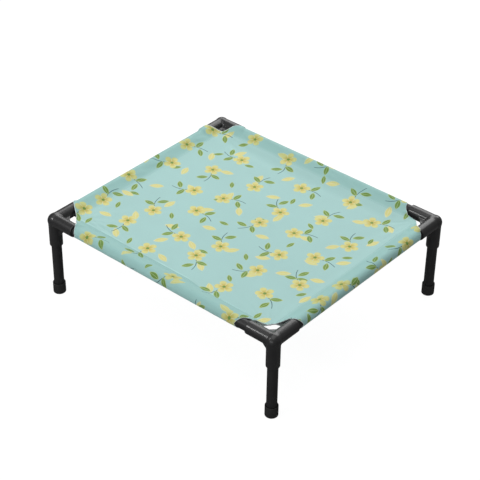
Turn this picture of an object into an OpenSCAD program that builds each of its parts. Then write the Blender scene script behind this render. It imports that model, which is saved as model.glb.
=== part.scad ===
// Raised dog cot: a cloth sling on four rail tubes, joined at the corners
// by three-way plastic connectors that also hold the four legs.
// X runs along the length, Y along the depth, and Z is up from the floor.
// The origin is on the floor, under the middle of the cot.

/* [Overall size] */
// Length over the corner connectors
cot_length = 624; // [420:1:1200]
// Depth over the corner connectors
cot_depth = 554; // [380:1:1000]
// Height from the floor to the top of the corner connectors
cot_height = 200; // [170:1:400]

/* [Tubes] */
// Outside diameter of the rail and leg tubes
tube_d = 22; // [16:0.5:30]
// Wall of the rail and leg tubes
tube_wall = 1.2; // [0.8:0.1:2.5]

/* [Corner connectors] */
// Wall of an arm around its tube
arm_wall = 3; // [2:0.1:6]
// Length of an arm, from the middle of the corner to its mouth
arm_length = 61; // [50:1:90]
// Solid plastic left between the sockets of a corner
core_wall = 5; // [3:0.5:10]
// How far the ball at the corner stands proud of the arms
ball_proud = 0.9; // [0.3:0.1:2]
// How far the web between two arms reaches along them, from the middle of the corner
web_reach = 45; // [34:1:54]
// Thickness of the three webs
web_thickness = 4; // [2:0.5:12]
// Chamfer around the mouth of an arm, inside and outside
mouth_chamfer = 1; // [0.4:0.1:2]

/* [Feet] */
// Wall of a foot around its leg
foot_wall = 2.6; // [1.5:0.1:5]
// Height of a foot
foot_height = 25; // [15:1:40]
// Thickness of a foot under the end of its leg
foot_base = 5; // [3:0.5:10]
// Chamfer around the sole of a foot
sole_chamfer = 1.6; // [0.5:0.1:3]
// Chamfer around the rim of a foot, inside and outside
rim_chamfer = 0.8; // [0.2:0.1:2]

/* [Cloth] */
// Thickness of the cloth
cloth_t = 0.8; // [0.4:0.1:2]
// Distance from the middle of a rail to the seam of its sleeve
seam_offset = 27; // [24:0.5:45]
// Width of the hem that is sewn under the sheet inside the seam
hem_width = 8; // [4:0.5:15]
// How far along the seams each corner of the sheet is cut off
corner_slant = 8; // [4:0.5:20]
// Bare rail between the mouth of an arm and the end of a sleeve
sleeve_end_gap = 5; // [1:0.5:10]

/* [Clearances] */
// Gap all round between a tube and its socket
socket_gap = 0.15; // [0.05:0.05:0.5]
// Gap all round between a leg and its foot
foot_gap = 0.1; // [0.05:0.05:0.4]
// Gap between the end of a tube and the floor of its socket
end_gap = 0.2; // [0.1:0.1:1]
// Gap between a rail and the cloth around it
sleeve_gap = 0.3; // [0.2:0.1:1.5]
// Gap between an arm and the cloth beside it
ear_gap = 0.6; // [0.3:0.1:2]

/* [Hidden] */
$fn = 96;

// Radii of the tubes, sockets and arms
tube_r = tube_d / 2;
socket_r = tube_r + socket_gap;
arm_r = socket_r + arm_wall;
ball_r = arm_r + ball_proud;

// Distance from the middle of a corner to the floors of its sockets
socket_floor = socket_r + core_wall;

// Where the corners are: half the distance between opposite rails, and the rails' height
half_x = cot_length / 2 - ball_r;
half_y = cot_depth / 2 - ball_r;
rail_z = cot_height - ball_r;

// The cloth: sleeve radii, the line of the seam, and the slanting cut at each corner
sleeve_outer_r = tube_r + sleeve_gap + cloth_t;
sleeve_inner_r = tube_r + sleeve_gap;
corner_cut = 2 * seam_offset + corner_slant;
seam_overlap = 2 * cloth_t;
mitre_gap = cloth_t;

// Chamfers are kept within a third of the wall that they are cut in
arm_chamfer = min(mouth_chamfer, arm_wall / 3);
foot_chamfer = min(rim_chamfer, foot_wall / 3);

// How far a cutting shape runs past the face that it cuts through
past = 1;

// Places the front left corner's part at each corner, with x and y mirrored to suit
module at_corner(side_x, side_y) {
    translate([side_x * half_x, side_y * half_y, 0])
        mirror([side_x > 0 ? 1 : 0, 0, 0])
            mirror([0, side_y > 0 ? 1 : 0, 0])
                children();
}

// Turns a shape that runs along Z to run along X
module along_x() {
    rotate([0, 90, 0]) children();
}

// Turns a shape that runs along Z to run along Y
module along_y() {
    rotate([-90, 0, 0]) children();
}

// Turns a shape that runs along Z to run down
module along_down() {
    rotate([180, 0, 0]) children();
}

// A plain tube along Z, from the height `low` to the height `high`
module tube(low, high) {
    translate([0, 0, low])
        difference() {
            cylinder(r = tube_r, h = high - low);
            translate([0, 0, -past])
                cylinder(r = tube_r - tube_wall, h = high - low + 2 * past);
        }
}

// The outside of one arm, along Z from the middle of the corner
module arm() {
    cylinder(r = arm_r, h = arm_length - arm_chamfer);
    translate([0, 0, arm_length - arm_chamfer])
        cylinder(r1 = arm_r, r2 = arm_r - arm_chamfer, h = arm_chamfer);
}

// The hole that a tube pushes into, with a chamfered mouth
module socket() {
    translate([0, 0, socket_floor])
        cylinder(r = socket_r, h = arm_length - socket_floor + past);
    translate([0, 0, arm_length - arm_chamfer])
        cylinder(r1 = socket_r, r2 = socket_r + 2 * arm_chamfer, h = 2 * arm_chamfer);
}

// A web between the arms along X and Y, with a straight slanting edge
module web() {
    linear_extrude(height = web_thickness, center = true)
        polygon([[0, 0], [web_reach, 0], [0, web_reach]]);
}

// Three-way corner connector: two rail sockets, one leg socket and three webs
module connector() {
    color("#2b2b2d")
        translate([0, 0, rail_z])
            difference() {
                union() {
                    sphere(r = ball_r);
                    along_x() arm();
                    along_y() arm();
                    along_down() arm();
                    web();
                    rotate([-90, 0, 0]) web();
                    rotate([0, 90, 0]) web();
                }
                along_x() socket();
                along_y() socket();
                along_down() socket();
            }
}

// A rail along Z, between the socket floors of two corners `2 * half` apart
module rail(half) {
    reach = half - socket_floor - end_gap;
    color("#1e1e20") tube(-reach, reach);
}

// A leg: a tube from the inside of its foot to the floor of its socket
module leg() {
    color("#1b1b1c") tube(foot_base, rail_z - socket_floor - end_gap);
}

// A rubber cup that the end of a leg stands in
module foot() {
    cup_r = tube_r + foot_gap;
    foot_r = cup_r + foot_wall;
    color("#161616")
        rotate_extrude()
            polygon([
                [0, 0],
                [foot_r - sole_chamfer, 0],
                [foot_r, sole_chamfer],
                [foot_r, foot_height - foot_chamfer],
                [foot_r - foot_chamfer, foot_height],
                [cup_r + foot_chamfer, foot_height],
                [cup_r, foot_height - foot_chamfer],
                [cup_r, foot_base],
                [0, foot_base]
            ]);
}

// Outline of a sleeve round a rail: an arc of radius r, drawn in to the seam at x = tip
function teardrop(r, tip) =
    let (open = acos(r / tip), steps = 28)
    concat(
        [[tip, 0]],
        [for (i = [0:steps]) let (a = open + (360 - 2 * open) * i / steps) r * [cos(a), sin(a)]]
    );

// Section of a sleeve and its hem: x is the distance inwards from the rail, y is up
module sleeve_section() {
    difference() {
        polygon(teardrop(sleeve_outer_r, seam_offset));
        polygon(teardrop(sleeve_inner_r, seam_offset * sleeve_inner_r / sleeve_outer_r));
    }
    translate([seam_offset - seam_overlap, -1.5 * cloth_t])
        square([seam_overlap + hem_width, cloth_t]);
}

// Plan of a sleeve: square ends at the arms, slanting ears inside them, mitred hems.
// x runs along the rail and y is the distance inwards from it.
module sleeve_plan(half) {
    ear_start = arm_r + ear_gap;
    sleeve_end = half - arm_length - sleeve_end_gap;
    turn = corner_cut / 2;
    far_side = max(seam_offset + hem_width, turn) + past;
    right_side = [
        [sleeve_end, -sleeve_outer_r - past],
        [sleeve_end, ear_start],
        [half - corner_cut + ear_start, ear_start],
        [half - turn - mitre_gap, turn],
        [half - far_side - mitre_gap, far_side]
    ];
    left_side = [for (i = [len(right_side) - 1:-1:0]) [-right_side[i][0], right_side[i][1]]];
    polygon(concat(right_side, left_side));
}

// A sleeve of folded cloth along X, at the height of the rail that it holds.
// The rail lies on y = 0 and the sheet is on the side of positive y.
module sleeve(half) {
    color("#a5cfd0")
        translate([0, 0, rail_z])
            intersection() {
                translate([-half, 0, 0])
                    rotate([90, 0, 90])
                        linear_extrude(height = 2 * half)
                            sleeve_section();
                translate([0, 0, -2 * sleeve_outer_r])
                    linear_extrude(height = 4 * sleeve_outer_r)
                        sleeve_plan(half);
            }
}

// The flat sheet between the four seams, with its corners cut on the slant
module sling_sheet() {
    seam_x = half_x - seam_offset;
    seam_y = half_y - seam_offset;
    slant_x = seam_x - corner_slant;
    slant_y = seam_y - corner_slant;
    color("#aed6d6")
        translate([0, 0, rail_z - cloth_t / 2])
            linear_extrude(height = cloth_t)
                polygon([
                    [slant_x, seam_y], [-slant_x, seam_y],
                    [-seam_x, slant_y], [-seam_x, -slant_y],
                    [-slant_x, -seam_y], [slant_x, -seam_y],
                    [seam_x, -slant_y], [seam_x, slant_y]
                ]);
}

// Corner connectors
at_corner(-1, -1) connector();  // front_left_connector
at_corner(1, -1) connector();  // front_right_connector
at_corner(-1, 1) connector();  // back_left_connector
at_corner(1, 1) connector();  // back_right_connector

// Rails
translate([0, -half_y, rail_z]) along_x() rail(half_x);  // front_rail
translate([0, half_y, rail_z]) along_x() rail(half_x);  // back_rail
translate([-half_x, 0, rail_z]) along_y() rail(half_y);  // left_rail
translate([half_x, 0, rail_z]) along_y() rail(half_y);  // right_rail

// Legs
at_corner(-1, -1) leg();  // front_left_leg
at_corner(1, -1) leg();  // front_right_leg
at_corner(-1, 1) leg();  // back_left_leg
at_corner(1, 1) leg();  // back_right_leg

// Feet
at_corner(-1, -1) foot();  // front_left_foot
at_corner(1, -1) foot();  // front_right_foot
at_corner(-1, 1) foot();  // back_left_foot
at_corner(1, 1) foot();  // back_right_foot

// Cloth
sling_sheet();
translate([0, -half_y, 0]) sleeve(half_x);  // front_sleeve
translate([0, half_y, 0]) rotate([0, 0, 180]) sleeve(half_x);  // back_sleeve
translate([-half_x, 0, 0]) rotate([0, 0, -90]) sleeve(half_y);  // left_sleeve
translate([half_x, 0, 0]) rotate([0, 0, 90]) sleeve(half_y);  // right_sleeve
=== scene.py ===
# %% [markdown]
# # A raised dog cot, piece by piece
#
# The cot is a cloth sling that four tubes hold taut, on four short legs with plastic corners. The packed
# CAD model gives every size and place. Blender adds what plain solids leave out: one folded and sewn cloth
# with its print, moulded corners with soft edges, turned rubber feet, thread, and a finish for each surface.

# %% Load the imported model
import math
import bmesh
import bpy
import numpy as np
from mathutils import Matrix, Vector, noise


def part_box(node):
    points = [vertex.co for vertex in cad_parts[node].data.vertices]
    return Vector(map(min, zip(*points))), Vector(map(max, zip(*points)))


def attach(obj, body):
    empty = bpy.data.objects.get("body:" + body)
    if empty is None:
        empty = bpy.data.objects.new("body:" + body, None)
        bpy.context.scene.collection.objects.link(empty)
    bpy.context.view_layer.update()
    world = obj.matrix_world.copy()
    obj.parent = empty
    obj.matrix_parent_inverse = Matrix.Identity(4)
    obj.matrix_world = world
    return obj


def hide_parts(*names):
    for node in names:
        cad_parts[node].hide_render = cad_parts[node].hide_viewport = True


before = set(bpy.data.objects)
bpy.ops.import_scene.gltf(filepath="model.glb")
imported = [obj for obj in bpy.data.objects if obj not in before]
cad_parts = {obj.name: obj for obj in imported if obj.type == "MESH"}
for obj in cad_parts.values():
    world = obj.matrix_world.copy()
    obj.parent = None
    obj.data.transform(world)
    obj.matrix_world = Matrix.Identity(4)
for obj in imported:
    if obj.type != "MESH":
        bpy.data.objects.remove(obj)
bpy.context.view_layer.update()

# %% [markdown]
# The cloth is shaped round the rails and over the ends of the corner arms, so their places are read from
# the model and not typed in again. The sheet's box gives the seams and the cloth's thickness.

# %% Sizes read from the model
BALL_PROUD = 0.0009  # how far a corner's ball stands out past its arms
low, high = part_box("back_rail")
RAIL_Y = (low.y + high.y) / 2
RAIL_Z = (low.z + high.z) / 2
RAIL_R = (high.z - low.z) / 2
low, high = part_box("right_rail")
RAIL_X = (low.x + high.x) / 2
low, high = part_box("back_right_connector")
BALL_R, ARM = high.x - RAIL_X, RAIL_X - low.x
ARM_R = BALL_R - BALL_PROUD
low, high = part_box("sling_sheet")
SEAM_X, SEAM_Y, CLOTH = high.x, high.y, high.z - low.z
SEAM = RAIL_X - SEAM_X
CORNERS = {"front_left": (-1, -1), "front_right": (1, -1), "back_left": (-1, 1), "back_right": (1, 1)}
print(f"rails at {RAIL_X:.4f}, {RAIL_Y:.4f}, height {RAIL_Z:.4f};",
      f"seam {SEAM:.4f} inside them; arms {ARM:.4f} long")

# %% [markdown]
# Each piece below is drawn in a BMesh, where points and faces are easy to add and move. At the end it becomes
# a mesh, and an object shows that mesh in the scene. Two helpers do this.

# %% Object helpers
def new_object(name, data):
    """An object with that data, linked to the scene."""
    made = bpy.data.objects.new(name, data)
    bpy.context.scene.collection.objects.link(made)
    return made


def written(bm, name):
    """A smooth-shaded mesh of a BMesh, which is freed."""
    for face in bm.faces:
        face.smooth = True
    mesh = bpy.data.meshes.new(name)
    bm.to_mesh(mesh)
    bm.free()
    return mesh

# %% [markdown]
# ## Camera
#
# The camera could be placed by eye, but the feet, corners and cloth edges of a photograph fix it: a long
# lens, about two and a half metres away along the floor, looking down at 35 degrees and rolled by under one.

# %% Camera
LENS_MM, SENSOR_MM, ROLLED_DEGREES = 112.85, 36.0, 0.792
SPOT, AIM = Vector((1.6681, -1.9655, 1.9679)), Vector((-0.1320, 0.1386, 0.0))
camera_data = bpy.data.cameras.new("camera")
camera_data.lens, camera_data.sensor_width = LENS_MM, SENSOR_MM
camera = new_object("camera", camera_data)
bpy.context.scene.camera = camera
look = (AIM - SPOT).to_track_quat("-Z", "Y").to_matrix()
look = look @ Matrix.Rotation(math.radians(ROLLED_DEGREES), 3, "Z")
camera.matrix_world = Matrix.Translation(SPOT) @ look.to_4x4()
print(f"camera {(AIM - SPOT).length:.2f} m from its aim, lens {LENS_MM} mm")

# %% [markdown]
# ## Nodes
#
# Every finish below is built from shader nodes. The first helpers add any node. The others stand for the
# nodes that come again and again, such as a sum, a soft threshold, noise or a bump, so that a cell reads as a
# recipe. `new_group` starts a group with named sockets.

# %% Node helpers
def feed(tree, node, inputs):
    """Puts values or links on a node's inputs."""
    for key, value in inputs.items():
        if isinstance(value, bpy.types.NodeSocket):
            tree.links.new(value, node.inputs[key])
        else:
            node.inputs[key].default_value = value


def add(tree, kind, inputs=None, **settings):
    """One node, with its settings and inputs."""
    node = tree.nodes.new(kind)
    for name, value in settings.items():
        setattr(node, name, value)
    feed(tree, node, inputs or {})
    return node


def calc(tree, operation, *values):
    """The result of one Math node."""
    return add(tree, "ShaderNodeMath", dict(enumerate(values)), operation=operation).outputs[0]


def rise(tree, value, start, end):
    """0 below start, 1 above end, and smooth between them."""
    inputs = {"Value": value, "From Min": start, "From Max": end}
    return add(tree, "ShaderNodeMapRange", inputs, interpolation_type="SMOOTHSTEP").outputs["Result"]


def mix(tree, share, first, second):
    """first, with that share of second over it."""
    return add(tree, "ShaderNodeMix", {0: share, 6: first, 7: second}, data_type="RGBA").outputs[2]


def split(tree, vector):
    """The three parts of a vector."""
    return add(tree, "ShaderNodeSeparateXYZ", {0: vector}).outputs


def scaled(tree, vector, gain):
    """A vector or a colour, times a number."""
    return add(tree, "ShaderNodeVectorMath", {0: vector, "Scale": gain}, operation="SCALE").outputs["Vector"]


def cloud(tree, place, scale, detail):
    """Noise, from 0 to 1."""
    inputs = {"Vector": place, "Scale": scale, "Detail": detail}
    return add(tree, "ShaderNodeTexNoise", inputs).outputs["Fac"]


def bump(tree, height, distance, strength, normal=None):
    """The normal of a surface raised by height times distance, over another normal if given."""
    inputs = {"Height": height, "Distance": distance, "Strength": strength}
    if normal:
        inputs["Normal"] = normal
    return add(tree, "ShaderNodeBump", inputs).outputs["Normal"]


# %% Groups and materials
def new_group(name, inputs, outputs):
    """A node group, the outputs of its input node, and its output node."""
    tree = bpy.data.node_groups.new(name, "ShaderNodeTree")
    for way, sockets in (("INPUT", inputs), ("OUTPUT", outputs)):
        for label, kind in sockets:
            tree.interface.new_socket(label, in_out=way, socket_type="NodeSocket" + kind)
    return tree, tree.nodes.new("NodeGroupInput").outputs, tree.nodes.new("NodeGroupOutput")


def use(tree, group, inputs):
    """The outputs of a group, used in a tree."""
    return add(tree, "ShaderNodeGroup", inputs, node_tree=group).outputs


def new_material(name):
    """A material, its tree and its Principled shader."""
    material = bpy.data.materials.new(name)
    material.use_nodes = True
    return material, material.node_tree, material.node_tree.nodes["Principled BSDF"]

# %% [markdown]
# ## Floor and light
#
# The cot stands on a white floor that runs out of view. To the camera it is just white, with a very faint
# shadow: most of that white is a glow that only the camera sees, because a floor lit far past white would
# eat into the thin black legs along their edges. Light that falls on the cloth from it is that of a pale
# floor, and in the gloss of the black legs it is darker, so that they don't glow.

# %% Floor
FLOOR_HALF = 9.0
PALE_FLOOR, GLOSSED_FLOOR, SEEN_FLOOR, GLOW = 0.6, 0.18, 0.12, 0.95


def grey(level):
    """A grey, as a colour."""
    return (level, level, level, 1)


bm = bmesh.new()
bmesh.ops.create_grid(bm, x_segments=1, y_segments=1, size=FLOOR_HALF)
floor = new_object("floor", written(bm, "floor"))
white_floor, tree, shader = new_material("white_floor")
rays = add(tree, "ShaderNodeLightPath").outputs
seen = rays["Is Camera Ray"]
unseen = mix(tree, rays["Is Glossy Ray"], grey(PALE_FLOOR), grey(GLOSSED_FLOOR))
feed(tree, shader, {
    "Base Color": mix(tree, seen, unseen, grey(SEEN_FLOOR)), "Roughness": 0.9, "Specular IOR Level": 0.0,
    "Emission Color": mix(tree, seen, grey(0), grey(GLOW)), "Emission Strength": 1.0})
floor.data.materials.append(white_floor)
print("floor", floor.dimensions.x, "m wide")

# %% [markdown]
# The light is a broad white panel behind the cot, to the left, with another above it and a weaker one in
# front. Broad, dim panels give the black plastic an even grey sheen where small bright ones would give it
# hard stripes. A smaller box at the front left draws the one bright line along the arms that run along X.

# %% Lights
MIDDLE = (0, 0, 0.15)
ROOM = 0.22  # the room's light on the cot; the camera sees white


def softbox(name, place, target, wide, tall, watts):
    """An area light at place that faces target."""
    data = bpy.data.lights.new(name, "AREA")
    data.shape = "RECTANGLE"
    data.size, data.size_y, data.energy = wide, tall, watts
    turn = (Vector(target) - Vector(place)).to_track_quat("-Z", "Y").to_matrix().to_4x4()
    new_object(name, data).matrix_world = Matrix.Translation(Vector(place)) @ turn


softbox("back_panel", (-1.0, 2.6, 2.2), MIDDLE, wide=3.6, tall=2.2, watts=74.0)
softbox("top_panel", (0.1, -0.6, 3.0), MIDDLE, wide=2.6, tall=2.6, watts=30.0)
softbox("front_panel", (0.5, -2.7, 0.6), MIDDLE, wide=1.6, tall=0.9, watts=10.0)
softbox("front_box", (-0.86, -1.65, 1.46), (-0.86, -0.1, 0.1), wide=0.4, tall=0.30, watts=10.0)
world = bpy.data.worlds.new("bright_room")
world.use_nodes = True
tree = world.node_tree
seen = add(tree, "ShaderNodeLightPath").outputs["Is Camera Ray"]
feed(tree, tree.nodes["Background"], {
    "Color": grey(1), "Strength": calc(tree, "MULTIPLY_ADD", seen, 1 - ROOM, ROOM)})
bpy.context.scene.world = world
bpy.context.scene.view_settings.view_transform = "Standard"

# %% [markdown]
# ## Finishes of the hard pieces
#
# Moulded plastic, powder coat and rubber are all black, and what tells them apart is their grain and gloss.
# One group gives all three a fine bump, patches that are a little duller, and a drift in colour. It reads
# Object coordinates, so the grain keeps its size on every piece.

# %% Group: fine grain
PATCHES_PER_M = 38.0
grain, given, result = new_group(
    "fine_grain",
    [("Grain Size", "Float"), ("Colour", "Color"), ("Drift", "Float"), ("Roughness", "Float"),
     ("Patches", "Float")],
    [("Colour", "Color"), ("Roughness", "Float"), ("Height", "Float")])
place = add(grain, "ShaderNodeTexCoord").outputs["Object"]
fine = cloud(grain, place, calc(grain, "DIVIDE", 1.0, given["Grain Size"]), 2.0)
patch = calc(grain, "SUBTRACT", cloud(grain, place, PATCHES_PER_M, 4.0), 0.5)
gain = calc(grain, "MULTIPLY_ADD", patch, given["Drift"], 1.0)
feed(grain, result, {
    "Colour": scaled(grain, given["Colour"], gain), "Height": fine,
    "Roughness": calc(grain, "MULTIPLY_ADD", patch, given["Patches"], given["Roughness"])})
print("group", grain.name, len(grain.nodes), "nodes")

# %% [markdown]
# A little dust settles on whatever faces up. The group compares the surface's normal with the vertical and
# breaks the edge of the dust with noise.

# %% Group: settled dust
SPECKS_PER_M, DUST_GREY = 420.0, (0.36, 0.35, 0.33, 1)
dust, given, result = new_group(
    "settled_dust", [("Colour", "Color"), ("Amount", "Float")], [("Colour", "Color")])
place = add(dust, "ShaderNodeTexCoord").outputs["Object"]
upward = split(dust, add(dust, "ShaderNodeNewGeometry").outputs["Normal"])["Z"]
specks = cloud(dust, place, SPECKS_PER_M, 5.0)
cover = calc(dust, "MULTIPLY", rise(dust, upward, 0.2, 1.0), rise(dust, specks, 0.42, 0.68))
share = calc(dust, "MULTIPLY", cover, given["Amount"])
feed(dust, result, {"Colour": mix(dust, share, given["Colour"], DUST_GREY)})
print("group", dust.name, len(dust.nodes), "nodes")

# %% [markdown]
# The three finishes use both groups with their own values. The plastic is satin under a thin glossy skin, as
# mouldings are, so it shows both a soft sheen and a fine bright line. The coat on the tubes has the slight
# ripple of orange peel, and the rubber is dull.

# %% Plastic, powder coat and rubber
SKIN_ROUGHNESS = 0.18


def black_finish(name, colour, drift, size, high, roughness, patches, specular, dusty, skin):
    """A black finish: size and high are those of its grain, and skin is the share of a glossy skin."""
    material, tree, shader = new_material(name)
    body = use(tree, grain, {
        "Grain Size": size, "Colour": colour, "Drift": drift, "Roughness": roughness, "Patches": patches})
    top = use(tree, dust, {"Colour": body["Colour"], "Amount": dusty})
    feed(tree, shader, {
        "Base Color": top["Colour"], "Roughness": body["Roughness"], "Specular IOR Level": specular,
        "Coat Weight": skin, "Coat Roughness": SKIN_ROUGHNESS,
        "Normal": bump(tree, body["Height"], high, 1.0)})
    return material


plastic = black_finish(
    "moulded_plastic", (0.013, 0.013, 0.014, 1), drift=0.5, size=0.0009, high=0.000003,
    roughness=0.42, patches=0.10, specular=0.5, dusty=0.02, skin=0.4)
coat = black_finish(
    "powder_coat", (0.018, 0.018, 0.019, 1), drift=0.4, size=0.0016, high=0.00005,
    roughness=0.48, patches=0.14, specular=0.4, dusty=0.03, skin=0.0)
rubber = black_finish(
    "foot_rubber", (0.024, 0.024, 0.024, 1), drift=0.6, size=0.0007, high=0.00004,
    roughness=0.66, patches=0.12, specular=0.3, dusty=0.05, skin=0.0)
print("finishes:", plastic.name, coat.name, rubber.name)

# %% [markdown]
# ## Rails and legs
#
# The tubes are already right as CAD solids: straight, hollow and square-ended. They stay, and only take the
# coat in place of their plain colour.

# %% Rails and legs
tubes = [f"{side}_rail" for side in ("front", "back", "left", "right")] + [f"{c}_leg" for c in CORNERS]
for name in tubes:
    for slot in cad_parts[name].material_slots:
        slot.material = coat
print("coated", len(tubes), "tubes")

# %% [markdown]
# ## Corner connectors
#
# Each corner is one moulding: two arms for the rails, one for the leg, and a web between each pair. The CAD
# solid has the right walls but knife-sharp inner corners, and bevelling edges where round arms cross flat
# webs would tangle. A moulding is a blend of plain shapes, and a blend is easy to write as a distance: where
# two distances are nearly equal, taking a little less than the smaller one leaves a fillet between them.

# %% A connector as a blend of plain shapes
SOCKET_GAP, SOCKET_FLOOR = 0.00015, 0.005
BORE_R = RAIL_R + SOCKET_GAP
BORE_END = BORE_R + SOCKET_FLOOR
WEB_HALF, WEB_REACH, WEB_EDGE = 0.002, 0.045, 0.0015
ARM_FILLETS, WEB_FILLET, RIM_ROUND = (0.0008, 0.0025, 0.0025), 0.0035, 0.0016


def fillet(one, other, width):
    """The smaller of two distances, with a fillet of about that width where they meet."""
    share = np.clip(0.5 + 0.5 * (other - one) / width, 0, 1)
    return other + (one - other) * share - width * share * (1 - share)


def rounded(one, other, width):
    """The larger of two distances, with the edge between them rounded."""
    return -fillet(-one, -other, width)


def web(along, beside, off):
    """Distance to a web between two arms, with a slanting edge."""
    edge = rounded(np.abs(off) - WEB_HALF, (along + beside - WEB_REACH) / math.sqrt(2), WEB_EDGE)
    return np.maximum(edge, np.maximum(-along, -beside))


def moulding(points):
    """Distance to the front left connector's surface, for points measured from its corner's middle."""
    x, y, down = points[:, 0], points[:, 1], -points[:, 2]
    arms = [(x, np.hypot(y, down)), (y, np.hypot(x, down)), (down, np.hypot(x, y))]
    body = np.linalg.norm(points, axis=1) - BALL_R
    for width, (along, off) in zip(ARM_FILLETS, arms):
        body = fillet(body, np.maximum(rounded(off - ARM_R, along - ARM, RIM_ROUND), -along), width)
    for along, beside, off in ((x, y, down), (x, down, y), (y, down, x)):
        body = fillet(body, web(along, beside, off), WEB_FILLET)
    for along, off in arms:
        body = rounded(body, -np.maximum(off - BORE_R, BORE_END - along), RIM_ROUND)
    return body


print("distance at the ball's top:", moulding(np.array([[0, 0, BALL_R]])))

# %% [markdown]
# A copy of one CAD connector is remeshed as small even squares, which gives the blend its faces. Each point
# then moves down the slope of the distance until it is on the surface.

# %% The faces of a connector
SAME = 1e-6  # points nearer than this are one point
SQUARE, QUICK_SQUARE = 0.0009, 0.0016
ROUNDS, NUDGE, LEAST_SLOPE = 4, 1e-5, 0.25
bm = bmesh.new()
bm.from_mesh(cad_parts["front_left_connector"].data)
bmesh.ops.remove_doubles(bm, verts=bm.verts, dist=SAME)
bmesh.ops.translate(bm, verts=bm.verts, vec=(RAIL_X, RAIL_Y, -RAIL_Z))
copy = new_object("connector_copy", written(bm, "connector_copy"))
squares = copy.modifiers.new("small_squares", "REMESH")
squares.mode = "VOXEL"
squares.voxel_size = SQUARE
even = bpy.data.meshes.new_from_object(copy.evaluated_get(bpy.context.evaluated_depsgraph_get()))
bpy.data.objects.remove(copy)
points = np.empty(3 * len(even.vertices))
even.vertices.foreach_get("co", points)
points = points.reshape(-1, 3)
for _ in range(ROUNDS):
    rises = [moulding(points + step) - moulding(points - step) for step in np.eye(3) * NUDGE]
    slope = np.stack(rises, axis=1) / (2 * NUDGE)
    points -= (moulding(points) / np.maximum((slope ** 2).sum(axis=1), LEAST_SLOPE))[:, None] * slope
even.vertices.foreach_set("co", points.ravel())
print("connector of", len(even.polygons), "faces, off its blend by",
      f"{np.abs(moulding(points)).max() * 1000:.3f} mm")

# %% [markdown]
# The corners are mirror images, so one shape serves all four. Mirroring turns the faces inside out, and so
# the normals are recalculated.

# %% Connectors
def moulded(corner):
    """The moulding at one corner."""
    side_x, side_y = CORNERS[corner]
    bm = bmesh.new()
    bm.from_mesh(even)
    bmesh.ops.scale(bm, verts=bm.verts, vec=(-side_x, -side_y, 1))
    bmesh.ops.translate(bm, verts=bm.verts, vec=(side_x * RAIL_X, side_y * RAIL_Y, RAIL_Z))
    bmesh.ops.recalc_face_normals(bm, faces=bm.faces)
    piece = new_object(corner + "_moulding", written(bm, corner + "_moulding"))
    piece.data.materials.append(plastic)
    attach(piece, "frame")
    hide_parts(corner + "_connector")


for corner in CORNERS:
    moulded(corner)
print("moulded", len(CORNERS), "connectors")

# %% [markdown]
# ## Feet
#
# A foot is a rubber cup pushed over the leg's end. It is round, so half of its section is drawn as a few
# points and spun about the leg's axis. Its mouth widens towards the rim, so that it starts easily over the
# tube, and this leaves a fine dark line there. Its sharp rings are then bevelled: wide under the sole, narrow
# at the rim. The sole is slightly hollow, so that it stands on a ring.

# %% Turned feet
TOUCH = 1e-5  # a point nearer to a line than this lies on it
CUP_GAP, CUP_BASE = 0.0001, 0.005
HOLLOW, HOLLOW_R, STANDING_R = 0.0006, 0.006, 0.0068
LEAD_WIDE, LEAD_DEEP = 0.0013, 0.0026
SOLE_BEVEL, RIM_BEVEL = (0.0018, 5), (0.0008, 3)


def turned_foot(corner):
    """A rubber cup in the place of a CAD foot."""
    low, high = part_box(corner + "_foot")
    outer, tall = (high.x - low.x) / 2, high.z - low.z
    bore = RAIL_R + CUP_GAP
    middle = Vector(((low.x + high.x) / 2, (low.y + high.y) / 2, low.z))
    half = [(0, HOLLOW), (HOLLOW_R, HOLLOW), (STANDING_R, 0), (outer, 0), (outer, tall),
            (bore + LEAD_WIDE, tall), (bore, tall - LEAD_DEEP), (bore, CUP_BASE), (0, CUP_BASE)]
    bm = bmesh.new()
    points = [bm.verts.new((r, 0, z)) for r, z in half]
    edges = [bm.edges.new(pair) for pair in zip(points, points[1:])]
    bmesh.ops.spin(bm, geom=points + edges, cent=(0, 0, 0), axis=(0, 0, 1), angle=math.tau,
                   steps=72, use_merge=True)
    bmesh.ops.remove_doubles(bm, verts=bm.verts, dist=SAME)
    bmesh.ops.recalc_face_normals(bm, faces=bm.faces)
    for height, (width, steps) in ((0, SOLE_BEVEL), (tall, RIM_BEVEL)):
        ring = [e for e in bm.edges if all(
            abs(v.co.z - height) < TOUCH and abs(v.co.xy.length - outer) < TOUCH for v in e.verts)]
        bmesh.ops.bevel(
            bm, geom=ring, offset=width, affect="EDGES", segments=steps, profile=0.5, material=-1)
    bmesh.ops.translate(bm, verts=bm.verts, vec=middle)
    mesh = written(bm, corner + "_cup")
    mesh.set_sharp_from_angle(angle=math.radians(40))
    mesh.materials.append(rubber)
    piece = new_object(corner + "_cup", mesh)
    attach(piece, "leg_" + corner)
    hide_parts(corner + "_foot")
    return len(mesh.polygons)


print("turned feet of", [turned_foot(corner) for corner in CORNERS], "faces")

# %% [markdown]
# ## The cloth: cut flat
#
# The sling is one piece of cloth. It could be modelled as a flat sheet and four tubes, but then the print
# would break at each seam. Here it is made as a sewer makes it: cut flat, its margins folded round the
# rails, and sewn back to itself. The margin's length is the way up one flank, round the tube and back.

# %% Lengths on the flat cloth
SLACK, ARM_SLACK = 0.0003, 0.0005
HEM, UNDER = 0.008, 0.0009


def roll(radius):
    """For a margin round a roll: the angle where its flank leaves it, and the lengths of flank and arc."""
    leave = math.acos(radius / SEAM)
    return leave, math.sqrt(SEAM ** 2 - radius ** 2), 2 * (math.pi - leave) * radius


ROLL_R = RAIL_R + SLACK + CLOTH / 2
OVER_ARM_R = ARM_R + ARM_SLACK + CLOTH / 2
LEAVE, FLANK, ROUND = roll(ROLL_R)
SEWN = 2 * FLANK + ROUND
MARGIN = SEWN + HEM

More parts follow.
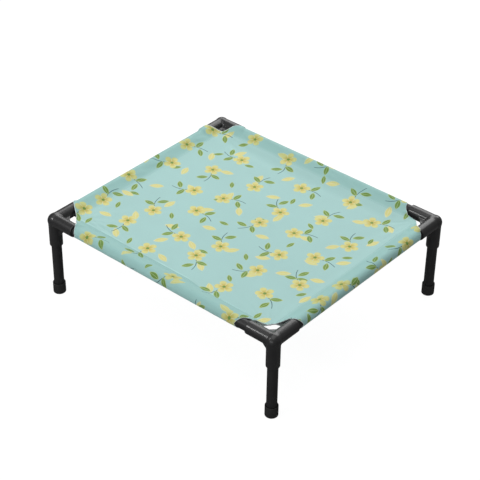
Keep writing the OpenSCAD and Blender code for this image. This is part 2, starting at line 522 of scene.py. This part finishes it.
# %% [markdown]
# The four corners of the flat cloth are cut away, so that the connectors can pass. Each margin ends in one
# long curve: it starts at the sheet's cut corner, runs at a slant up the flank, and bends until it is nearly
# square to the rail on the far side. The way back under the sheet mirrors it. No cover sits dead straight, so
# each of the eight ends also slips along its rail: by one length at the seam, another up on the flank and a
# third on the far side. The last number says how far up the flank the first gives way to the second.

# %% The curve of a margin's end
SLANT, BORDER, NEAR = 0.008, 0.0022, 0.085
RUN, CURL = 1.08, 7.1
FAR_FROM, FAR_OVER = 0.02, 0.015
SLIPS = {
    ("front", "left"): (0.0, 0.003, 0.001, 0.02), ("front", "right"): (0.003, 0.019, 0.018, 0.02),
    ("back", "left"): (-0.007, -0.012, 0.0, 0.02), ("back", "right"): (-0.006, 0.0145, 0.011, 0.004),
    ("left", "front"): (0.0, -0.005, -0.003, 0.02), ("left", "back"): (-0.007, -0.012, -0.016, 0.02),
    ("right", "front"): (0.003, 0.009, 0.004, 0.02), ("right", "back"): (-0.006, -0.001, -0.0015, 0.02),
}


def slip_at(x, y):
    """The slips of the nearest end, for a point of a margin."""
    side_x, side_y = "right" if x > 0 else "left", "back" if y > 0 else "front"
    return SLIPS[(side_y, side_x) if abs(y) > SEAM_Y else (side_x, side_y)]


def ease(share):
    """0 below 0, 1 above 1, and smooth between them."""
    share = min(max(share, 0.0), 1.0)
    return share * share * (3 - 2 * share)


def end_of_margin(out, slip):
    """How far in from the seam's corner the cloth ends, at a distance out from the seam."""
    first, second, third, over = slip
    if out >= SEWN:
        return max(SLANT + first - (out - SEWN), out - SEWN)
    climb = min(out, SEWN - out)
    slipped = first + (second - first) * ease(climb / over)
    slipped += (third - second) * ease((climb - FAR_FROM) / FAR_OVER)
    return SLANT + RUN * climb - CURL * climb ** 2 + slipped


print("a sleeve ends", round(SEAM + end_of_margin(SEWN / 2, (0, 0, 0, 1)), 4),
      "m from the corner on its far side")

# %% [markdown]
# One quarter of the cloth is swept out of a single point, first along X and then along Y, in wide steps
# over the sheet and narrow ones towards the corner and over the margins.

# %% A quarter of the flat cloth
WIDE_X, WIDE_Y, NARROW, FOLDED = 30, 25, 25, 48


def sweep(bm, geom, step, count):
    """geom extruded along step count times; the last row."""
    return bmesh.ops.spin(
        bm, geom=geom, cent=(0, 0, 0), axis=(0, 0, 1), dvec=step, angle=0.0, steps=count)["geom_last"]


bm = bmesh.new()
tip = sweep(bm, [bm.verts.new((0, 0, 0))], ((SEAM_X - NEAR) / WIDE_X, 0, 0), WIDE_X)
tip = sweep(bm, tip, (NEAR / NARROW, 0, 0), NARROW)
sweep(bm, tip, (MARGIN / FOLDED, 0, 0), FOLDED)
row = sweep(bm, list(bm.verts) + list(bm.edges), (0, (SEAM_Y - NEAR) / WIDE_Y, 0), WIDE_Y)
row = sweep(bm, row, (0, NEAR / NARROW, 0), NARROW)
sweep(bm, row, (0, MARGIN / FOLDED, 0), FOLDED)
print("quarter of", len(bm.faces), "faces before cutting")

# %% [markdown]
# So far each margin has a square end and runs on past the corner. Bisecting planes cut it, and a second set
# of planes gives the border beside the cut its own edge. Then the waste is deleted.

# %% Cut the margins' ends and the sheet's corner
CORNER_AREA = 0.03


def near(bm, test):
    """The faces whose middle passes a test, with their edges and points."""
    faces = [f for f in bm.faces if test(f.calc_center_median())]
    return faces + list({e for f in faces for e in f.edges}) + list({v for f in faces for v in f.verts})


def cut(bm, test, start, end, inside):
    """Bisects the tested faces along the line from start to end, moved sideways by inside."""
    start, end = Vector((*start, 0)), Vector((*end, 0))
    across = (end - start).cross(Vector((0, 0, 1))).normalized()
    bmesh.ops.bisect_plane(
        bm, geom=near(bm, test), dist=SAME, plane_co=start + across * inside, plane_no=across)


for inside in (0.0, BORDER):
    cut(bm, lambda m: m.y > SEAM_Y, (SEAM_X - SLANT, SEAM_Y), (SEAM_X - SLANT, SEAM_Y + MARGIN), -inside)
    cut(bm, lambda m: m.x > SEAM_X, (SEAM_X, SEAM_Y - SLANT), (SEAM_X + MARGIN, SEAM_Y - SLANT), inside)
    cut(bm, lambda m: SEAM_X - CORNER_AREA < m.x < SEAM_X and SEAM_Y - CORNER_AREA < m.y < SEAM_Y,
        (SEAM_X - SLANT, SEAM_Y), (SEAM_X, SEAM_Y - SLANT), -inside)
waste = []
for face in bm.faces:
    in_x, in_y = Vector((SEAM_X, SEAM_Y)) - face.calc_center_median().xy
    if min(in_x, in_y) < 0 and max(in_x, in_y) < SLANT or min(in_x, in_y) >= 0 and in_x + in_y < SLANT:
        waste.append(face)
bmesh.ops.delete(bm, geom=waste, context="FACES")
print("cut away", len(waste), "faces, leaving", len(bm.faces))

# %% [markdown]
# Two mirrors make the whole cloth. The points on the cut are marked while they are easy to find: the edge is
# turned over there, so it is thicker and paler. The margins are marked too, to be darkened: in part because
# the cloth is thin and the black tube behind it shows through, and in part as painted shade on the rolls.
# Then each end is drawn back to its curve, and the points behind it follow by less and less.

# %% The whole cloth, with its ends shaped
DARK_FROM, DARK_OVER, CORNER_FADE = 0.004, 0.010, 0.05
for axis in ("X", "Y"):
    bmesh.ops.mirror(bm, geom=list(bm.verts) + list(bm.edges) + list(bm.faces), matrix=Matrix.Identity(4),
                     merge_dist=TOUCH, axis=axis)
bmesh.ops.remove_doubles(bm, verts=bm.verts, dist=2 * SAME)
bmesh.ops.recalc_face_normals(bm, faces=bm.faces)
bm.normal_update()
if sum(f.normal.z for f in bm.faces) < 0:
    bmesh.ops.reverse_faces(bm, faces=bm.faces)
edge_mark = bm.verts.layers.float.new("turned_edge")
edge_group = bm.verts.layers.deform.new("turned_edge")
# This mark darkens the margins: part black tube showing through the cloth, part painted shade on the rolls.
tube_and_shade_mark = bm.verts.layers.float.new("tube_behind_and_shade")


def drawn_back(inside, end):
    """Where a point that far in from the seam's corner goes, as its end is drawn back to the curve."""
    return end + (inside - SLANT) * (NEAR - end) / (NEAR - SLANT) if inside < NEAR else inside


for vert in bm.verts:
    x, y = vert.co.xy
    in_x, in_y = SEAM_X - abs(x), SEAM_Y - abs(y)
    on_cut = max(in_x, in_y) < SLANT + TOUCH if min(in_x, in_y) < 0 else in_x + in_y < SLANT + TOUCH
    vert[edge_mark] = float(on_cut)
    # Painted shade in part: the margins darken from just inside the seam outwards.
    vert[tube_and_shade_mark] = ease((DARK_FROM - min(in_x, in_y)) / DARK_OVER)
    if on_cut:
        vert[edge_group][0] = 1.0
    if in_y < -SAME:
        vert.co.x = math.copysign(SEAM_X - drawn_back(in_x, end_of_margin(-in_y, slip_at(x, y))), x)
    elif in_x < -SAME:
        vert.co.y = math.copysign(SEAM_Y - drawn_back(in_y, end_of_margin(-in_x, slip_at(x, y))), y)
    else:
        fade = max(1 - (in_x + in_y - SLANT) / CORNER_FADE, 0.0)
        vert.co.x -= math.copysign(1, x) * slip_at(x, 2 * y)[0] * min(in_x / SLANT, 1) * fade
        vert.co.y -= math.copysign(1, y) * slip_at(x, y / 2)[0] * min(in_y / SLANT, 1) * fade
FLAT_AREA = sum(f.calc_area() for f in bm.faces)

# %% [markdown]
# While the cloth is still flat, each point's place is kept as its UV, in metres, so that the print and the
# weave run on over every fold.

# %% UVs
UV_MIDDLE = 0.5
uv = bm.loops.layers.uv.new("cloth")
for face in bm.faces:
    for loop in face.loops:
        loop[uv].uv = loop.vert.co.xy + Vector((UV_MIDDLE, UV_MIDDLE))
print("UV layer", uv.name)

# %% [markdown]
# ## The cloth: folded round the rails
#
# Folding is a rule for where each flat point goes. A point of the sheet stays where it is. A point of a
# margin climbs the flank, follows the tube round, comes back below and ends as a hem under the sheet. Where
# the curved end reaches past the mouth of an arm, the cloth has to pass over the arm, so the roll widens.

# %% Folding
WIDENS_FROM, WIDENS_OVER = 0.0125, 0.012
REACHES_FROM, REACHES_OVER = 0.002, 0.003


def radius_at(inside, out, slip):
    """The roll's radius, for distances from the corner along the rail and out from the seam."""
    over = ease((ARM + WIDENS_FROM - inside) / WIDENS_OVER)
    reaches = ease((ARM + REACHES_FROM - SEAM - end_of_margin(out, slip)) / REACHES_OVER)
    return ROLL_R + (OVER_ARM_R - ROLL_R) * over * reaches


def section(out, radius):
    """Inward distance and height from the rail's axis, for a distance out from the seam."""
    if out > SEWN:
        return Vector((SEAM + out - SEWN, -UNDER))
    leave, flank, arc = roll(radius)
    top = Vector((radius * math.cos(leave), radius * math.sin(leave)))
    out *= (2 * flank + arc) / SEWN
    if out <= flank:
        return Vector((SEAM, 0)).lerp(top, out / flank)
    if out <= flank + arc:
        turn = leave + (out - flank) / radius
        return Vector((radius * math.cos(turn), radius * math.sin(turn)))
    return Vector((top.x, -top.y)).lerp(Vector((SEAM, -UNDER)), (out - flank - arc) / flank)


def folded(x, y):
    """Where a point of the flat cloth lies on the cot."""
    if abs(x) > SEAM_X:
        out = abs(x) - SEAM_X
        inward, height = section(out, radius_at(RAIL_Y - abs(y), out, slip_at(x, y)))
        return Vector((math.copysign(RAIL_X - inward, x), y, RAIL_Z + height))
    if abs(y) > SEAM_Y:
        out = abs(y) - SEAM_Y
        inward, height = section(out, radius_at(RAIL_X - abs(x), out, slip_at(x, y)))
        return Vector((x, math.copysign(RAIL_Y - inward, y), RAIL_Z + height))
    return Vector((x, y, RAIL_Z))


def outward(x, y):
    """The way that the printed side faces there."""
    step = 0.0002
    along_x = folded(x + step, y) - folded(x - step, y)
    along_y = folded(x, y + step) - folded(x, y - step)
    return along_x.cross(along_y).normalized()


print("top of the rolls", round(RAIL_Z + ROLL_R, 4), "m")

# %% [markdown]
# Taut cloth is never quite flat. A simulation would settle it into a shape much like this one, and slowly;
# so the few things that show are added by rule: a slight sag, deeper beside the back rail, broad waves, small
# puckers along the thread, pulls that fan out of the corners, and a few ripples that run beside one seam. All
# but the sag fade out at the seams. The first number of each is its height, and the others are lengths.

# %% Sag, waves, puckers and pulls
SAG, BACK_SAG, BACK_SAG_FROM, BACK_SAG_TO = 0.0030, 0.0045, 0.032, 0.05
WAVE, WAVE_LONG = 0.0011, 0.12
PUCKER, PUCKER_LONG, PUCKER_REACH = 0.0007, 0.013, 0.011
PULL, PULL_REACH = 0.0013, 0.06
RIPPLE, RIPPLE_LONG = 0.0015, 0.0018


def bell(value, middle, width):
    """1 at the middle, and less on both sides of it."""
    return math.exp(-((value - middle) / width) ** 2)


def lift(x, y):
    """How far the sheet stands above its plane."""
    to_x, to_y = SEAM_X - abs(x), SEAM_Y - abs(y)
    to_seam = max(min(to_x, to_y), 0.0)
    from_back = SEAM_Y - y
    beside_back = ease(from_back / BACK_SAG_FROM) * (1 - ease((from_back - BACK_SAG_TO) / 0.2))
    sag = -SAG * (1 - (x / SEAM_X) ** 2) * (1 - (y / SEAM_Y) ** 2)
    sag -= BACK_SAG * beside_back * ease(to_x / 0.05)
    wave = WAVE * noise.noise((x / WAVE_LONG, y / WAVE_LONG, 7.7))
    pucker = PUCKER * math.exp(-to_seam / PUCKER_REACH)
    pucker *= noise.noise((x / PUCKER_LONG, y / PUCKER_LONG, 3.1))
    reach = math.hypot(to_x, to_y)
    fan = math.atan2(to_y, max(to_x, 1e-6))
    side = 3.0 * (x > 0) + 5.0 * (y > 0)
    pull = PULL * bell(reach, PULL_REACH, PULL_REACH) * noise.noise((fan * 5.5, side, reach / 0.2))
    spot = bell(SEAM_X + x, 0.075, 0.045) * bell(SEAM_Y + y, 0.016, 0.012)
    ripple = RIPPLE * spot * math.sin((y + 0.12 * x) / RIPPLE_LONG)
    return sag + (1 - math.exp(-to_seam / 0.005)) * (wave + pucker + pull + ripple)


print("middle of the sheet", round(1000 * lift(0, 0), 2), "mm from its plane")

# %% [markdown]
# At a seam the sheet bends up into a flank. Stiff cloth doesn't do so at one sharp line, so a shoulder eases
# the bend, and each side has its own width of it. The margins stand off their plain fold too: a little all
# round, and in soft creases on the inner flanks.

# %% Shoulders and creases
BEND = math.pi / 2 - LEAVE
SHOULDER = {"front": 0.006, "back": 0.024, "left": 0.016, "right": 0.020}
FLANK_CREASE, LOOSE = 0.0021, 0.0003


def shoulder(x, y):
    """How far the cloth rises beside a seam."""
    sides = [("right" if x > 0 else "left", abs(x) - SEAM_X), ("back" if y > 0 else "front", abs(y) - SEAM_Y)]
    rises = [0.0]
    for side, out in [pair for pair in sides if pair[1] > 0] or sides:
        short = SHOULDER[side] - min(abs(out), abs(SEWN - out))
        rises.append(BEND / (4 * SHOULDER[side]) * max(short, 0.0) ** 2)
    return max(rises)


def proud(x, y):
    """How far a margin stands off its plain fold."""
    out = max(abs(x) - SEAM_X, abs(y) - SEAM_Y)
    if out <= 0 or out > SEWN:
        return 0.0
    along = y if abs(x) > SEAM_X else x
    side = 11.0 * (abs(x) > SEAM_X) + 4.0 * (x + y > 0)
    slanting = noise.noise(((along + 1.3 * out) / 0.034, out / 0.05, side))
    small = noise.noise((along / 0.021, out / 0.016, side + 2.5))
    fade = min(1.0, out / 0.004, (SEWN - out) / 0.004)
    creased = FLANK_CREASE * bell(out, 0.014, 0.008) * max(slanting, 0.0)
    return fade * (creased + LOOSE * (0.5 + 0.5 * small))


def on_cloth(x, y):
    """A point of the flat cloth, folded and settled."""
    point = folded(x, y) + outward(x, y) * proud(x, y)
    point.z += shoulder(x, y)
    if abs(point.x) <= SEAM_X and abs(point.y) <= SEAM_Y:
        point.z += lift(point.x, point.y)
    return point


print("front seam at a height of", round(on_cloth(0, -SEAM_Y).z, 4), "m")

# %% [markdown]
# The rule moves every point of the flat cloth to its place. A Solidify modifier then gives the cloth its
# thickness, and more of it at the turned edges. Its back and its edges take a second, paler material.

# %% Fold the cloth
TURNED_CLOTH = 0.0012
for vert in bm.verts:
    vert.co = on_cloth(vert.co.x, vert.co.y)
cover = new_object("sling_cover", written(bm, "sling_cover"))
cover.vertex_groups.new(name="turned_edge")
walls = cover.modifiers.new("cloth_thickness", "SOLIDIFY")
walls.thickness, walls.offset = TURNED_CLOTH, 0.0
walls.vertex_group = "turned_edge"
walls.thickness_vertex_group = CLOTH / walls.thickness
walls.material_offset = walls.material_offset_rim = 1
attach(cover, "frame")
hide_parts("sling_sheet", "front_sleeve", "back_sleeve", "left_sleeve", "right_sleeve")
print("cover of", len(cover.data.polygons), "faces")

# %% [markdown]
# ## Thread
#
# A row of stitches runs along each seam, and beside each cut edge. A stitch is a stretched ball of 24 faces,
# laid along the cloth. Lines are drawn on the flat cloth, and the folding rule carries each stitch along.

# %% Stitches
PITCH, STITCH, THREAD, STITCH_FACES = 0.0046, 0.0033, 0.00055, 24
INSET, STOP = 0.0016, 0.013
stitches = bmesh.new()


def sew(path):
    """Stitches along a line of points on the flat cloth."""
    walked = 0.0
    size = Matrix.Diagonal((STITCH / 2, THREAD / 2, THREAD / 2, 1))
    for start, end in zip(path, path[1:]):
        length = (end - start).length
        ahead = (end - start).normalized() * 0.0005
        while walked < length:
            x, y = start.lerp(end, walked / length)
            along = on_cloth(x + ahead.x, y + ahead.y) - on_cloth(x - ahead.x, y - ahead.y)
            along.normalize()
            up = outward(x, y)
            turn = Matrix((along, up.cross(along).normalized(), up)).transposed().to_4x4()
            place = Matrix.Translation(on_cloth(x, y) + up * CLOTH / 2) @ turn
            bmesh.ops.create_uvsphere(stitches, u_segments=6, v_segments=4, radius=1.0, matrix=place @ size)
            walked += PITCH
        walked -= length


for sign in (-1, 1):
    x, y = sign * (SEAM_X - INSET), sign * (SEAM_Y - INSET)
    sew([Vector((-SEAM_X + STOP, y)), Vector((SEAM_X - STOP, y))])
    sew([Vector((x, -SEAM_Y + STOP)), Vector((x, SEAM_Y - STOP))])
print("seam stitches:", len(stitches.faces) // STITCH_FACES)

# %% [markdown]
# The rows beside the cut edges follow the same curves as the ends of the margins, a little further in. One
# more short row crosses each corner of the sheet.

# %% Stitches beside the cut edges
BACK, SHORT, STEPS = 0.0028, 0.001, 40
outs = [SHORT + (SEWN - 2 * SHORT) * i / STEPS for i in range(STEPS + 1)]
for side_x, side_y in CORNERS.values():
    slip_x, slip_y = slip_at(side_x, side_y), slip_at(side_x, side_y * SEAM_Y / 2)
    along_x = [(SEAM_X - BACK - end_of_margin(out, slip_x), SEAM_Y + out) for out in outs]
    along_y = [(SEAM_X + out, SEAM_Y - BACK - end_of_margin(out, slip_y)) for out in outs]
    across = [(SEAM_X - SLANT - slip_x[0] - BACK, SEAM_Y - SHORT),
              (SEAM_X - SHORT, SEAM_Y - SLANT - slip_at(side_x, 0)[0] - BACK)]
    for path in (along_x, along_y, across):
        sew([Vector((side_x * x, side_y * y)) for x, y in path])
print("all stitches:", len(stitches.faces) // STITCH_FACES)
thread = new_object("sling_thread", written(stitches, "sling_thread"))
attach(thread, "frame")

# %% [markdown]
# ## Finish of the cloth
#
# The cloth is a plain weave of flat yarns. The weave group reads the flat cloth's UVs, which are in metres:
# warp and weft take turns on top, like a draught board, and each yarn is rounded across. Its Shade output is
# painted shade: the colour is darker where the yarns dip.

# %% Group: weave
weave, given, result = new_group(
    "plain_weave", [("Cloth", "Vector"), ("Yarns per Metre", "Float")],
    [("Height", "Float"), ("Shade", "Float")])
yarn = split(weave, scaled(weave, given["Cloth"], given["Yarns per Metre"]))
warp = calc(weave, "ABSOLUTE", calc(weave, "SINE", calc(weave, "MULTIPLY", yarn["X"], math.pi)))
weft = calc(weave, "ABSOLUTE", calc(weave, "SINE", calc(weave, "MULTIPLY", yarn["Y"], math.pi)))
square = calc(weave, "ADD", calc(weave, "FLOOR", yarn["X"]), calc(weave, "FLOOR", yarn["Y"]))
turn = calc(weave, "FLOORED_MODULO", square, 2.0)
height = add(weave, "ShaderNodeMix", {0: turn, 2: warp, 3: weft}, data_type="FLOAT").outputs[0]
# Shade is painted shade: darker where the yarns dip between their rounded tops.
feed(weave, result, {"Height": height, "Shade": calc(weave, "MULTIPLY_ADD", height, 0.10, 0.94)})
print("group", weave.name, len(weave.nodes), "nodes")

# %% [markdown]
# Beside the front seam the cloth has a crease. It follows the hem's edge for part of the way, and then
# crosses to the seam. The doubled cloth stands up there as a low ridge. Its crest gets a painted highlight in
# places, and from there to the roll the cloth gets painted shade. Modelling it would need a much finer mesh
# along the seam, so it is drawn on the UVs.

# %% Group: seam crease
CROSSES_FROM, CROSSES_TO = UV_MIDDLE + 0.04, UV_MIDDLE + 0.11
RIDGE_WIDE, HIGHLIGHT_INSIDE, HIGHLIGHT_WIDE = 0.0024, 0.0014, 0.0032
crease, given, result = new_group(
    "seam_crease", [("Cloth", "Vector")], [("Height", "Float"), ("Painted Highlight", "Float"), ("Painted Flank Shade", "Float")])
x, y, _ = split(crease, given["Cloth"])
from_middle = calc(crease, "ABSOLUTE", calc(crease, "SUBTRACT", x, UV_MIDDLE))
fade = rise(crease, calc(crease, "SUBTRACT", SEAM_X, from_middle), 0.0, 0.03)
line = calc(crease, "MULTIPLY", rise(crease, x, CROSSES_TO, CROSSES_FROM), HEM)
inside = calc(crease, "SUBTRACT", calc(crease, "ADD", y, SEAM_Y - UV_MIDDLE), line)
# The crest's painted highlight, broken up by noise so that it shows only in places.
broken_up = rise(crease, cloud(crease, given["Cloth"], 22.0, 2.0), 0.38, 0.58)
highlight_spots = calc(crease, "MULTIPLY", fade, broken_up)
for label, middle, wide, share in (
        ("Height", 0.0, RIDGE_WIDE, fade), ("Painted Highlight", HIGHLIGHT_INSIDE, HIGHLIGHT_WIDE, highlight_spots)):
    off = calc(crease, "ABSOLUTE", calc(crease, "SUBTRACT", inside, middle))
    feed(crease, result, {label: calc(crease, "MULTIPLY", rise(crease, off, wide, 0.0), share)})
# Painted shade on the flank beyond the crease.
painted_flank_shade = rise(crease, inside, 0.0008, -RIDGE_WIDE)
feed(crease, result, {"Painted Flank Shade": calc(crease, "MULTIPLY", painted_flank_shade, fade)})
print("group", crease.name, len(crease.nodes), "nodes")

# %% [markdown]
# The print is a plain garden sprig: a yellow flower of five petals, two green leaves and a dark stem, with
# loose petals and leaves between. The cloth is divided into half-drop cells, the commonest repeat in printed
# cloth. Each cell moves and turns its motif at random. Shapes are formulas of a place in millimetres.

# %% Print helpers
def cells(tree, cloth, wide, tall, shift, stray):
    """A point's place about its cell's motif, which strays from the middle and is turned at random."""
    inputs = {"Vector": cloth, "Location": (*shift, 0), "Scale": (1000, 1000, 0)}
    x, y, _ = split(tree, add(tree, "ShaderNodeMapping", inputs).outputs[0])
    column = calc(tree, "FLOOR", calc(tree, "DIVIDE", x, wide))
    dropped = calc(tree, "MULTIPLY_ADD", calc(tree, "FLOORED_MODULO", column, 2.0), tall / 2, y)
    row = calc(tree, "FLOOR", calc(tree, "DIVIDE", dropped, tall))
    number = add(tree, "ShaderNodeCombineXYZ", {"X": column, "Y": row}).outputs[0]
    drawn = add(tree, "ShaderNodeTexWhiteNoise", {"Vector": number}, noise_dimensions="2D").outputs["Color"]
    turn, chance_x, chance_y = add(tree, "ShaderNodeSeparateColor", {0: drawn}).outputs
    local = {}
    for axis, place, index, size, chance in (
            ("X", x, column, wide, chance_x), ("Y", dropped, row, tall, chance_y)):
        start = calc(tree, "MULTIPLY_ADD", index, size, (size - stray) / 2)
        middle = calc(tree, "MULTIPLY_ADD", chance, stray, start)
        local[axis] = calc(tree, "SUBTRACT", place, middle)
    inputs = {"Vector": add(tree, "ShaderNodeCombineXYZ", local).outputs[0],
              "Angle": calc(tree, "MULTIPLY", turn, math.tau)}
    return add(tree, "ShaderNodeVectorRotate", inputs, rotation_type="Z_AXIS").outputs[0]


def placed(tree, point, centre, turn, long, wide):
    """A point's place on a shape: from -1 to 1 along it and across it."""
    inputs = {"Vector": point, "Location": (*centre, 0), "Rotation": (0, 0, math.radians(turn)),
              "Scale": (long, wide, 1)}
    local = add(tree, "ShaderNodeMapping", inputs, vector_type="TEXTURE").outputs[0]
    return local, split(tree, local)


def leaf(tree, under, point, centre, turn, long, wide, colour, edge):
    """A pointed leaf with a pale edge and rib, printed over under."""
    _, (along, across, _) = placed(tree, point, centre, turn, long, wide)
    off = calc(tree, "ABSOLUTE", across)
    depth = calc(tree, "SUBTRACT", calc(tree, "SUBTRACT", 1.0, calc(tree, "MULTIPLY", along, along)), off)
    inner = calc(tree, "MULTIPLY", rise(tree, depth, 0.10, 0.24), rise(tree, off, 0.03, 0.09))
    return mix(tree, rise(tree, depth, 0.0, 0.06), under, mix(tree, inner, edge, colour))

# %% [markdown]
# Three sets of cells lie over each other: loose petals, loose leaves, and sprigs. A sprig is a bent stem, two
# leaves, and a flower whose edge swings in and out five times on the way round.

# %% Group: sprig print
prints, given, result = new_group(
    "sprig_print", [("Cloth", "Vector"), ("Ground", "Color")], [("Colour", "Color")])
YELLOW, GOLD, CREAM = (0.77, 0.74, 0.30, 1), (0.66, 0.55, 0.13, 1), (0.80, 0.79, 0.47, 1)
GREEN, LIME, TEAL = (0.20, 0.34, 0.075, 1), (0.58, 0.69, 0.30, 1), (0.030, 0.095, 0.115, 1)
STEM_HALF, STEM_BEND, FLOWER_R = 25.0, 0.012, 20.0
petals = cells(prints, given["Cloth"], wide=71.0, tall=83.0, shift=(59.0, 55.0), stray=34.0)
leaves = cells(prints, given["Cloth"], wide=113.0, tall=97.0, shift=(11.0, 83.0), stray=60.0)
point = cells(prints, given["Cloth"], wide=97.0, tall=89.0, shift=(17.0, 31.0), stray=12.0)
colour = leaf(prints, given["Ground"], petals, (0, 0), 20, 16.5, 7.5, YELLOW, CREAM)
colour = leaf(prints, colour, leaves, (0, 0), 20, 12.5, 5.2, GREEN, LIME)
_, (along, across, _) = placed(prints, point, (-8, -3), 8, 1, 1)
bend = calc(prints, "MULTIPLY", calc(prints, "MULTIPLY", along, along), STEM_BEND)
off = calc(prints, "ABSOLUTE", calc(prints, "SUBTRACT", across, bend))
length = rise(prints, calc(prints, "ABSOLUTE", along), STEM_HALF + 1, STEM_HALF - 1)
colour = mix(prints, calc(prints, "MULTIPLY", rise(prints, off, 0.95, 0.45), length), colour, TEAL)
for centre, turned in (((-20, 12), 118), ((-8, -14), 250)):
    colour = leaf(prints, colour, point, centre, turned, 14.0, 6.2, GREEN, LIME)
local, (along, across, _) = placed(prints, point, (17, 3), 0, FLOWER_R, FLOWER_R)
length = add(prints, "ShaderNodeVectorMath", {0: local}, operation="LENGTH").outputs["Value"]
around = calc(prints, "ARCTAN2", across, along)
lobe = calc(prints, "ABSOLUTE", calc(prints, "COSINE", calc(prints, "MULTIPLY", around, 2.5)))
edge = calc(prints, "MULTIPLY_ADD", calc(prints, "POWER", lobe, 0.55), 0.52, 0.48)
petal = mix(prints, rise(prints, length, 0.75, 0.2), YELLOW, GOLD)
petal = mix(prints, rise(prints, lobe, 0.30, 0.08), petal, CREAM)
petal = mix(prints, rise(prints, length, 0.20, 0.15), petal, GREEN)
colour = mix(prints, rise(prints, calc(prints, "SUBTRACT", edge, length), 0.0, 0.04), colour, petal)
feed(prints, result, {"Colour": colour})
print("group", prints.name, len(prints.nodes), "nodes")

# %% [markdown]
# The printed side and the back share the weave. The dye takes unevenly, so its strength drifts a little over
# the cloth. The marks on its points make the turned edges paler and the margins a little darker: in part from
# the black tube showing through, in part as painted shade.

# %% Cloth materials
YARNS_PER_M, DYE_PER_M = 1050.0, 9.0
YARN_HIGH, RIDGE_HIGH, RIDGE_HIGHLIGHT = 0.00012, 0.0008, 0.13
AQUA, TUBE_AND_SHADE_TINT, TURNED = (0.43, 0.685, 0.66, 1), (0.81, 0.88, 0.87, 1), (0.80, 0.89, 0.88, 1)
PALE, PALE_STREAK = (0.74, 0.80, 0.79, 1), (0.62, 0.74, 0.74, 1)


def cloth_finish(name, colour_of):
    """A woven finish; colour_of makes its colour from the tree and the cloth's place."""
    material, tree, shader = new_material(name)
    place = add(tree, "ShaderNodeUVMap", uv_map="cloth").outputs["UV"]
    yarns = use(tree, weave, {"Cloth": place, "Yarns per Metre": YARNS_PER_M})
    seam = use(tree, crease, {"Cloth": place})
    drift = cloud(tree, place, DYE_PER_M, 6.0)
    # The weave's painted shade darkens the colour between the yarns.
    gain = calc(tree, "MULTIPLY", yarns["Shade"], calc(tree, "MULTIPLY_ADD", drift, 0.10, 0.95))
    # The crest's painted highlight lightens the colour.
    gain = calc(tree, "MULTIPLY", gain, calc(tree, "MULTIPLY_ADD", seam["Painted Highlight"], RIDGE_HIGHLIGHT, 1.0))
    swell = bump(tree, seam["Height"], RIDGE_HIGH, 1.0)
    feed(tree, shader, {
        "Base Color": scaled(tree, colour_of(tree, place), gain),
        "Normal": bump(tree, yarns["Height"], YARN_HIGH, 0.7, swell),
        "Roughness": calc(tree, "MULTIPLY_ADD", drift, 0.16, 0.62),
        "Specular IOR Level": 0.3, "Sheen Weight": 0.08})
    return material


def printed_side(tree, place):
    """The print, darker where the tube shows through, with painted shade, and paler at the turned edges."""
    sprigs = use(tree, prints, {"Cloth": place, "Ground": AQUA})
    # Painted shade on the flank beyond the front crease.
    painted_flank_shade = use(tree, crease, {"Cloth": place})["Painted Flank Shade"]
    # The margins' mark: part tube showing through, part painted shade.
    behind = add(tree, "ShaderNodeAttribute", attribute_name="tube_behind_and_shade").outputs["Fac"]
    inputs = {0: calc(tree, "MAXIMUM", behind, painted_flank_shade), 6: sprigs["Colour"], 7: TUBE_AND_SHADE_TINT}
    colour = add(tree, "ShaderNodeMix", inputs, data_type="RGBA", blend_type="MULTIPLY").outputs[2]
    mark = add(tree, "ShaderNodeAttribute", attribute_name="turned_edge").outputs["Fac"]
    return mix(tree, rise(tree, mark, 0.1, 0.7), colour, TURNED)


def back_side(tree, place):
    """The unprinted back, with faint streaks."""
    return mix(tree, cloud(tree, place, 60.0, 3.0), PALE, PALE_STREAK)


cover.data.materials.append(cloth_finish("printed_cloth", printed_side))
cover.data.materials.append(cloth_finish("cloth_back", back_side))
print("cloth finishes:", [m.name for m in cover.data.materials])

# %% [markdown]
# The thread is spun, so a fine slanting stripe runs along it. Stripes on Object coordinates are enough at
# half a millimetre.

# %% Thread finish
STRIPES_PER_M, STRIPE_HIGH = 900.0, 0.00005
DEEP, LIGHT = (0.20, 0.40, 0.42, 1), (0.36, 0.60, 0.61, 1)
spun, tree, shader = new_material("spun_thread")
place = add(tree, "ShaderNodeTexCoord").outputs["Object"]
inputs = {"Vector": place, "Scale": STRIPES_PER_M, "Distortion": 1.0}
strands = add(tree, "ShaderNodeTexWave", inputs, bands_direction="DIAGONAL").outputs["Fac"]
feed(tree, shader, {
    "Base Color": mix(tree, strands, DEEP, LIGHT), "Roughness": 0.6,
    "Normal": bump(tree, strands, STRIPE_HIGH, 0.5)})
thread.data.materials.append(spun)
print("thread finish:", spun.name)
